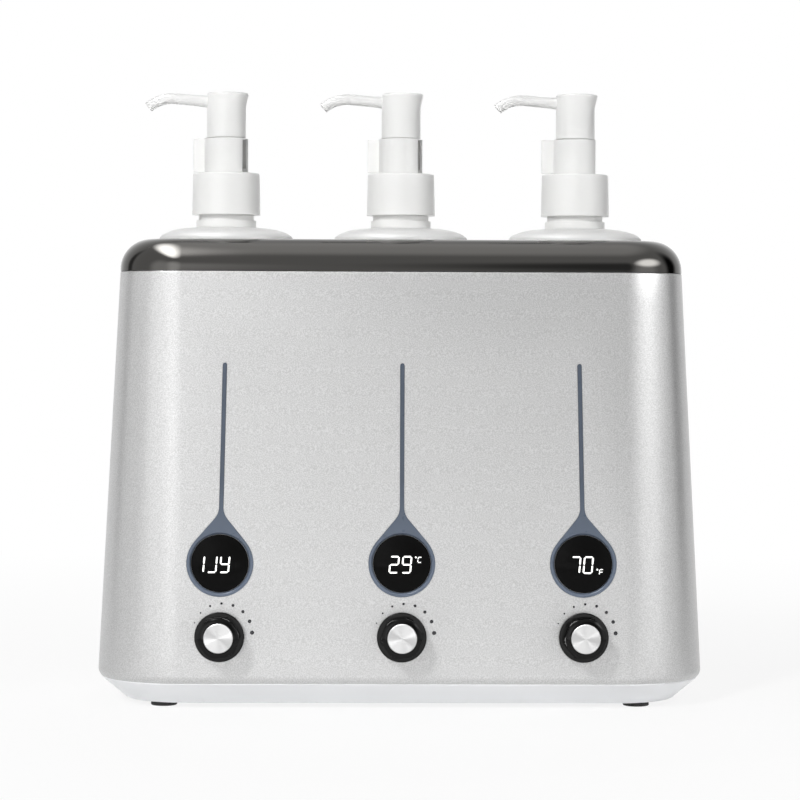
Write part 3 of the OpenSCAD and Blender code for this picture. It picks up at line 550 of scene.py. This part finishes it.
class WarmerFinish(bpy.types.PropertyGroup):
    """Colours and grain of the pieces."""

    casing: colour_property("Casing", "Silver of the casing", (0.499, 0.499, 0.499))
    grain: length_property("Grain", "Size of the casing's sand grain", 0.00045, low=0.0001, high=0.01)
    cover: colour_property("Cover", "Dark chrome of the top cover", (0.066, 0.064, 0.061))
    base: colour_property("Base", "White of the base tray", (0.91, 0.92, 0.935))
    rubber: colour_property("Rubber", "Black of the feet and seals", (0.018, 0.018, 0.018))
    bezel: colour_property("Bezel", "Slate of the teardrop bezels", (0.1, 0.125, 0.17))
    window: colour_property("Window", "Black of the display windows", (0.006, 0.006, 0.006))
    module: colour_property("Module", "Black of the display modules", (0.012, 0.012, 0.012))
    grip: colour_property("Knob", "Black of the knob grips", (0.003, 0.003, 0.003))
    cap: colour_property("Knob cap", "Aluminium of the knob caps", (0.5, 0.5, 0.5))
    bottle: colour_property("Bottle", "Frosted white of the bottles", (0.84, 0.84, 0.83))
    pump: colour_property("Pump", "White of the pumps and clips", (0.88, 0.88, 0.87))
    tube: colour_property("Tube", "White of the chambers and dip tubes", (0.72, 0.74, 0.74))
    well: colour_property("Well", "Aluminium of the heating wells", (0.6, 0.61, 0.62))
    deck: colour_property("Deck", "White of the wells' deck", (0.66, 0.66, 0.64))
    film: colour_property("Film", "Copper of the heating films", (0.4, 0.16, 0.05))
    board: colour_property("Board", "Green of the control board", (0.02, 0.12, 0.05))
    inlet: colour_property("Inlet", "Black of the power inlet", (0.015, 0.015, 0.015))
    steel: colour_property("Steel", "Plating of the switches and screws", (0.55, 0.55, 0.56))


class WarmerScales(bpy.types.PropertyGroup):
    """Printed dots round the knobs."""

    ink: colour_property("Ink", "Black of the dots", (0.012, 0.012, 0.016))
    count: bpy.props.IntProperty(name="Dots", description="Dots in each scale", default=8, min=2, max=16)
    first: angle_property("First dot", "Place of the smallest dot, clockwise from the top", -69.6)
    step: angle_property("Step", "Angle from one dot to the next", 22.6)
    ring: length_property("Ring", "Radius of the ring of dots", 0.0128)
    across: length_property("Across", "Shift of the ring to the right of the knob", 0.0012, low=-0.01)
    up: length_property("Up", "Shift of the ring above the knob", 0.0015, low=-0.01)
    smallest: length_property("Smallest", "Diameter of the smallest dot", 0.0006)
    largest: length_property("Largest", "Diameter of the largest dot", 0.0018)


class WarmerDisplays(bpy.types.PropertyGroup):
    """Readings of the displays."""

    left: bpy.props.StringProperty(name="Left", description="Reading at the left", default="1Jy")
    middle: bpy.props.StringProperty(name="Middle", description="Reading in the middle", default=" 29C")
    right: bpy.props.StringProperty(name="Right", description="Reading at the right", default=" 70F")
    height: length_property("Height", "Height of a digit", 0.0076)
    width: length_property("Width", "Width of a digit", 0.0043)
    stroke: length_property("Stroke", "Width of a segment", 0.0007)
    pitch: length_property("Pitch", "Distance from one digit to the next", 0.0054)
    slant: angle_property("Slant", "Lean of the digits to the right", 5)
    light: colour_property("Light", "Colour of the lit segments", (1, 0.995, 0.97))
    glow: level_property("Glow", "Strength of the lit segments", 0.95)


class WarmerSprings(bpy.types.PropertyGroup):
    """Return springs in the pumps."""

    colour: colour_property("Colour", "Steel of the springs", (0.6, 0.6, 0.6))
    wire: length_property("Wire", "Radius of the springs' wire", 0.00045, low=0.0001)
    coils: bpy.props.IntProperty(name="Coils", description="Turns of each spring", default=8, min=2, max=12)


class WarmerStage(bpy.types.PropertyGroup):
    """Camera and studio."""

    eye: place_property("Eye", "Place of the camera", (-0.024, -1.243, 0.1673))
    aim: place_property("Aim", "Point that the camera looks at", (0.0, 0.007, 0.1327))
    lens: bpy.props.FloatProperty(
        name="Lens", description="Focal length, in millimetres", default=125, min=1)
    roll: angle_property("Roll", "Turn of the camera about its axis", 0.24)
    key_light: power_property("Key", "Light at the upper left, which gives the shadows", 21)
    top_light: power_property("Top", "Wide light overhead", 1.7)
    low_light: power_property("Low", "Low light in front", 0.65)
    back_light: power_property("Back", "Light behind", 12)
    strip_card: level_property("Strip", "Brightness of the tall card at the right", 1.9)
    side_card: level_property("Side", "Brightness of the tall card at the left", 3.0)
    wing_card: level_property("Wing", "Brightness of the wide card at the far left", 2.0)
    ceiling_card: level_property("Ceiling", "Brightness of the wide card overhead", 2.1)
    front_card: level_property("Front", "Brightness of the card on the floor in front", 1.6)
    left_glow: level_property("Left glow", "Brightness of the card over the left end", 18)
    right_glow: level_property("Right glow", "Brightness of the card over the right end", 10)
    front_flag: level_property("Front flag", "Brightness of the dark card in front", 0.25)
    right_flag: level_property("Right flag", "Brightness of the dark card at the right end", 0.02)
    left_flag: level_property("Left flag", "Brightness of the dark card at the left end", 0.2)
    fill: level_property("Fill", "Strength of the surrounding light", 0.22)


# Operators


class WARMER_OT_shell(bpy.types.Operator):
    """Finishes the casing, the cover, the base, the feet and the seals"""

    bl_idname = "warmer.shell"
    bl_label = "Casing, Cover and Base"

    def execute(self, context):
        look = context.scene.warmer_finish
        dress(["casing"], sanded_silver(look.casing, look.grain))
        dress(["top_cover"], dark_chrome(look.cover))
        dress(["base_tray"], moulded("satin_white", look.base, roughness=0.42))
        rubber = moulded("foot_rubber", look.rubber, roughness=0.7, depth=0.00004)
        dress(["rubber_feet", "well_seals"], rubber)
        return {"FINISHED"}


class WARMER_OT_displays(bpy.types.Operator):
    """Finishes the bezels and windows, and lights the readings"""

    bl_idname = "warmer.displays"
    bl_label = "Displays"

    def execute(self, context):
        look = context.scene.warmer_finish
        show = context.scene.warmer_displays
        dress(each_side("bezel"), slate_paint(look.bezel))
        glass = moulded("black_glass", look.window, roughness=0.08, depth=0.000002, Specular_IOR_Level=0.02)
        dress(each_side("display_window"), glass)
        dress(["display_modules"], moulded("module_black", look.module, roughness=0.5))
        lit = lit_segments(show.light, show.glow)
        for side in SIDES:
            mesh = bmesh.new()
            self.reading(mesh, window_frame(side), getattr(show, side), show)
            new_piece(f"reading_{side}", mesh, lit, "housing")
        return {"FINISHED"}

    def reading(self, mesh, place, text, show):
        """Adds the lit segments of one reading."""
        x, y = THIRD_DIGIT
        for k, letter in enumerate(text):
            if letter in UNITS:
                self.unit(mesh, place @ shift(*UNIT_PLACES[letter]), letter, show.slant)
            elif letter in DIGITS:
                spot = place @ shift(x + (k - 2) * show.pitch, y)
                add_digit(mesh, spot, DIGITS[letter], show.width, show.height, show.stroke, show.slant)
            else:
                raise ValueError(f"no segments are known for {letter!r}")

    def unit(self, mesh, spot, letter, slant):
        """Adds a unit with its degree sign."""
        add_digit(mesh, spot, UNITS[letter], UNIT_WIDTH, UNIT_HEIGHT, UNIT_STROKE, slant)
        add_ring(mesh, spot @ shift(*DEGREE_PLACE), DEGREE_OUTER, DEGREE_INNER)


class WARMER_OT_knobs(bpy.types.Operator):
    """Finishes the knobs and prints the scales round them"""

    bl_idname = "warmer.knobs"
    bl_label = "Knobs and Scales"

    def execute(self, context):
        look = context.scene.warmer_finish
        scale = context.scene.warmer_scales
        black = moulded(
            "knob_black", look.grip, roughness=0.06, depth=0.000004, edge=0.0003, Specular_IOR_Level=0.13)
        dress(each_side("knob_grip"), black)
        ink = moulded("scale_ink", scale.ink, roughness=0.25, depth=0.000002, edge=0)
        for side in SIDES:
            low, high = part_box(f"knob_cap_{side}")
            dress([f"knob_cap_{side}"], spun_metal(f"spun_cap_{side}", look.cap, (low + high) / 2))
            mesh = bmesh.new()
            self.dots(mesh, knob_frame(side), scale)
            new_piece(f"scale_{side}", mesh, ink, "housing")
        return {"FINISHED"}

    def dots(self, mesh, place, scale):
        """Adds the dots of one scale, which grow clockwise."""
        for k in range(scale.count):
            angle = scale.first + k * scale.step
            size = scale.smallest + (scale.largest - scale.smallest) * k / (scale.count - 1)
            x = scale.across + scale.ring * math.sin(angle)
            y = scale.up + scale.ring * math.cos(angle)
            add_dome(mesh, place @ shift(x, y), size / 2, size * DOT_RISE)


class WARMER_OT_bottles(bpy.types.Operator):
    """Finishes the bottles, pumps and clips"""

    bl_idname = "warmer.bottles"
    bl_label = "Bottles and Pumps"

    def execute(self, context):
        look = context.scene.warmer_finish
        frosted = moulded(
            "frosted_bottle", look.bottle, roughness=0.45, texture=0.0006, depth=0.00002,
            Subsurface_Weight=0.4, **MILKY)
        dress(each_side("bottle"), frosted)
        white = moulded(
            "pump_white", look.pump, roughness=0.3, texture=0.0006, depth=0.000004, spread=0.008, edge=0.0003,
            Specular_IOR_Level=0.25, Subsurface_Weight=0.3, **MILKY)
        dress(each_side("closure", "pump_head", "pump_stem", "lock_clip"), white)
        dress(each_side("pump_chamber", "dip_tube"), moulded("clear_white", look.tube, roughness=0.3))
        return {"FINISHED"}


class WARMER_OT_springs(bpy.types.Operator):
    """Winds the return springs, in place of the CAD springs"""

    bl_idname = "warmer.springs"
    bl_label = "Return Springs"

    def execute(self, context):
        spring = context.scene.warmer_springs
        steel = worked_metal("spring_wire", spring.colour, roughness=0.25)
        for side in SIDES:
            node, press = f"return_spring_{side}", f"head_press_{side}"
            low, high = (Vector(corner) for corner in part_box(node))
            mesh = bmesh.new()
            add_coil(mesh, low, high, spring.wire, spring.coils)
            piece = new_piece(f"coil_{side}", mesh, steel, f"pump_{side}")
            for face in piece.data.polygons:
                face.use_smooth = True
            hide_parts(node)
            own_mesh(piece)
        return {"FINISHED"}


class WARMER_OT_inside(bpy.types.Operator):
    """Finishes the wells, the electronics, the inlet and the fasteners"""

    bl_idname = "warmer.inside"
    bl_label = "Inner Parts"

    def execute(self, context):
        look = context.scene.warmer_finish
        drawn = worked_metal("drawn_aluminium", look.well, roughness=0.32, axis_scales=(1, 1, 0.03))
        dress(each_side("heating_well"), drawn)
        dress(["well_deck"], moulded("deck_white", look.deck, roughness=0.5))
        dress(["heating_films"], moulded("copper_film", look.film, roughness=0.3, spread=0.08))
        dress(["control_board"], circuit_board(look.board))
        dress(["power_inlet"], moulded("inlet_black", look.inlet, roughness=0.4))
        plated = worked_metal("plated_steel", look.steel, roughness=0.28)
        dress(["temperature_sensors", "board_screws", "base_screws", "dial_switches", "switch_nuts"], plated)
        dress(each_side("switch_shaft"), plated)
        return {"FINISHED"}


class WARMER_OT_stage(bpy.types.Operator):
    """Sets up the floor, the light and the camera"""

    bl_idname = "warmer.stage"
    bl_label = "Studio Stage"

    def execute(self, context):
        stage = context.scene.warmer_stage
        context.scene.view_settings.view_transform = "Standard"
        self.floor()
        self.world(stage.fill)
        for name, (place, size) in LAMPS.items():
            self.lamp(name, place, size, getattr(stage, name))
        for name, (place, size) in CARDS.items():
            self.card(name, place, size, getattr(stage, name))
        self.camera(stage)
        return {"FINISHED"}

    def camera(self, stage):
        """Camera that sees the warmer as the photo does."""
        data = bpy.data.cameras.new("photo_camera")
        data.lens = stage.lens
        data.sensor_width = SENSOR_MM
        data.clip_start = NEAREST_SEEN
        camera = bpy.data.objects.new("photo_camera", data)
        bpy.context.scene.collection.objects.link(camera)
        eye = Vector(stage.eye)
        look = (Vector(stage.aim) - eye).to_track_quat("-Z", "Y").to_matrix().to_4x4()
        camera.matrix_world = Matrix.Translation(eye) @ look @ Matrix.Rotation(stage.roll, 4, "Z")
        bpy.context.scene.camera = camera

    def facing(self, place):
        """Turn of a lamp or card that faces the warmer."""
        return (MIDDLE - Vector(place)).to_track_quat("-Z", "Y").to_euler()

    def lamp(self, name, place, size, power):
        """A soft box, which the camera doesn't see."""
        data = bpy.data.lights.new(name, "AREA")
        data.shape = "RECTANGLE"
        data.size, data.size_y = size
        data.energy = power
        light = bpy.data.objects.new(name, data)
        bpy.context.scene.collection.objects.link(light)
        light.location = place
        light.rotation_euler = self.facing(place)
        light.visible_camera = False
        light.visible_glossy = name in MIRRORED_LAMPS

    def sheet(self, name, half):
        """A square sheet of the stage."""
        mesh = bmesh.new()
        bmesh.ops.create_grid(mesh, x_segments=1, y_segments=1, size=half)
        data = bpy.data.meshes.new(name)
        mesh.to_mesh(data)
        mesh.free()
        sheet = bpy.data.objects.new(name, data)
        bpy.context.scene.collection.objects.link(sheet)
        return sheet

    def card(self, name, place, size, level):
        """A bright or dark card with soft edges, which the camera doesn't see."""
        card = self.sheet(name, CARD_HALF)
        card.location = place
        card.scale = (*size, 1)
        if name not in LEVEL_CARDS:
            card.rotation_euler = self.facing(place)
        card.visible_camera = card.visible_transmission = card.visible_shadow = False
        card.visible_diffuse = name in LIGHTING_CARDS
        material, tree = new_material(name)
        clear = add_node(tree, "ShaderNodeBsdfTransparent")
        glow = add_node(tree, "ShaderNodeEmission", {"Strength": level})
        edge = centre_field(tree, CARD_HALF, CARD_CORE, interpolation_type="SMOOTHSTEP")
        blend_surface(tree, edge, clear, glow)
        card.data.materials.append(material)

    def floor(self):
        """Pale floor that looks white and keeps the warmer's shadow near the middle."""
        floor = self.sheet("studio_floor", FLOOR_HALF)
        material, tree, shader = new_finish("floor_paper", FLOOR_COLOUR, roughness=0.9)
        vary_colour(tree, shader, noise_field(tree, scale=3), FLOOR_COLOUR, spread=0.01)
        white = add_node(tree, "ShaderNodeEmission")
        fade = centre_field(tree, start=0.2, end=0.8, start_value=0.85)
        share = add_node(tree, "ShaderNodeMath", operation="MULTIPLY")
        tree.links.new(self.seen(tree), share.inputs[0])
        tree.links.new(fade, share.inputs[1])
        blend_surface(tree, share.outputs[0], shader, white)
        floor.data.materials.append(material)

    def seen(self, tree):
        """1 on rays that see the background: camera, mirror and glass rays."""
        path = add_node(tree, "ShaderNodeLightPath")
        pair = add_node(tree, "ShaderNodeMath", operation="MAXIMUM")
        three = add_node(tree, "ShaderNodeMath", operation="MAXIMUM")
        tree.links.new(path.outputs["Is Camera Ray"], pair.inputs[0])
        tree.links.new(path.outputs["Is Glossy Ray"], pair.inputs[1])
        tree.links.new(pair.outputs[0], three.inputs[0])
        tree.links.new(path.outputs["Is Transmission Ray"], three.inputs[1])
        return three.outputs[0]

    def world(self, fill):
        """White background that lights the warmer more weakly than it looks."""
        world = bpy.data.worlds.new("studio")
        bpy.context.scene.world = world
        world.use_nodes = True
        tree = world.node_tree
        background = tree.nodes["Background"]
        background.inputs["Color"].default_value = (1, 1, 1, 1)
        level = add_node(tree, "ShaderNodeMapRange", {"To Min": fill, "To Max": 1.0})
        tree.links.new(self.seen(tree), level.inputs["Value"])
        tree.links.new(level.outputs["Result"], background.inputs["Strength"])


# Panel and registration


class WARMER_PT_panel(bpy.types.Panel):
    """Sizes, colours and steps of the warmer"""

    bl_label = "Oil Warmer"
    bl_idname = "WARMER_PT_panel"
    bl_space_type = "VIEW_3D"
    bl_region_type = "UI"
    bl_category = "Oil Warmer"

    def draw(self, context):
        for operator in OPERATORS:
            self.layout.operator(operator.bl_idname)
        for name, group in GROUPS.items():
            box = self.layout.box()
            box.label(text=group.__doc__)
            for key in group.__annotations__:
                box.prop(getattr(context.scene, name), key)


OPERATORS = (
    WARMER_OT_shell,
    WARMER_OT_displays,
    WARMER_OT_knobs,
    WARMER_OT_bottles,
    WARMER_OT_springs,
    WARMER_OT_inside,
    WARMER_OT_stage,
)
GROUPS = {
    "warmer_finish": WarmerFinish,
    "warmer_scales": WarmerScales,
    "warmer_displays": WarmerDisplays,
    "warmer_springs": WarmerSprings,
    "warmer_stage": WarmerStage,
}


def register():
    for cls in (*GROUPS.values(), *OPERATORS, WARMER_PT_panel):
        bpy.utils.register_class(cls)
    for name, group in GROUPS.items():
        setattr(bpy.types.Scene, name, bpy.props.PointerProperty(type=group))


def unregister():
    for name in GROUPS:
        delattr(bpy.types.Scene, name)
    for cls in reversed((*GROUPS.values(), *OPERATORS, WARMER_PT_panel)):
        bpy.utils.unregister_class(cls)


def main():
    register()
    bpy.ops.warmer.shell()
    bpy.ops.warmer.displays()
    bpy.ops.warmer.knobs()
    bpy.ops.warmer.bottles()
    bpy.ops.warmer.springs()
    bpy.ops.warmer.inside()
    bpy.ops.warmer.stage()


if __name__ == "__main__":
    main()
